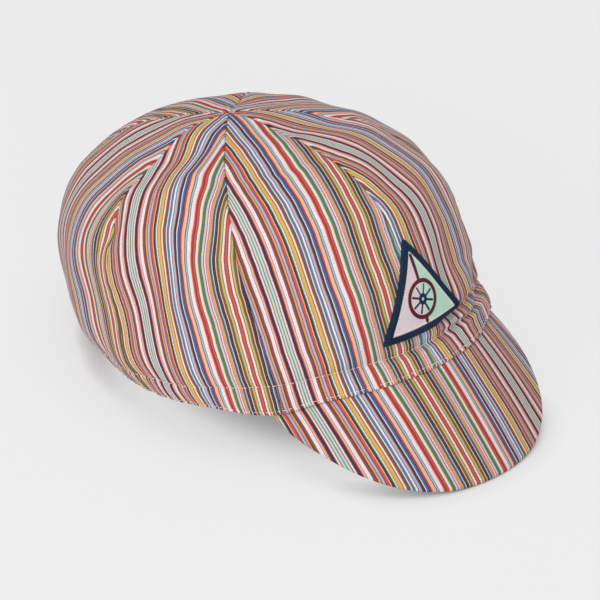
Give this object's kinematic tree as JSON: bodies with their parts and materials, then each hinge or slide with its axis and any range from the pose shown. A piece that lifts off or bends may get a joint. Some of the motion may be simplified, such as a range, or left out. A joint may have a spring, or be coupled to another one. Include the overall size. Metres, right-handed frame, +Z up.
{
  "type": "cycling cap",
  "caption": "Soft cycling cap of striped cotton with panels meeting at the top, a short turned-down peak and a plain three-cornered badge on the front seam.",
  "frame": {"origin": "middle of the cap's footprint, on the surface that it rests on", "axes": "+Z up, the peak points along -Y, the wearer's left is +X"},
  "size_m": [0.1696, 0.247, 0.1097],
  "materials": {
    "crown_cloth": "matt fine cotton with narrow multicoloured stripes",
    "peak_cloth": "matt fine cotton with narrow multicoloured stripes over a stiff core",
    "badge_cloth": "woven twill with an overlocked border",
    "thread": "matt off-white sewing thread"
  },
  "bodies": {
    "root": {"front_panel_right": "crown_cloth", "front_panel_left": "crown_cloth", "side_panel_right": "crown_cloth", "side_panel_left": "crown_cloth", "back_panel_right": "crown_cloth", "back_panel_left": "crown_cloth", "peak": "peak_cloth", "badge": "badge_cloth"}
  },
  "joints": []
}
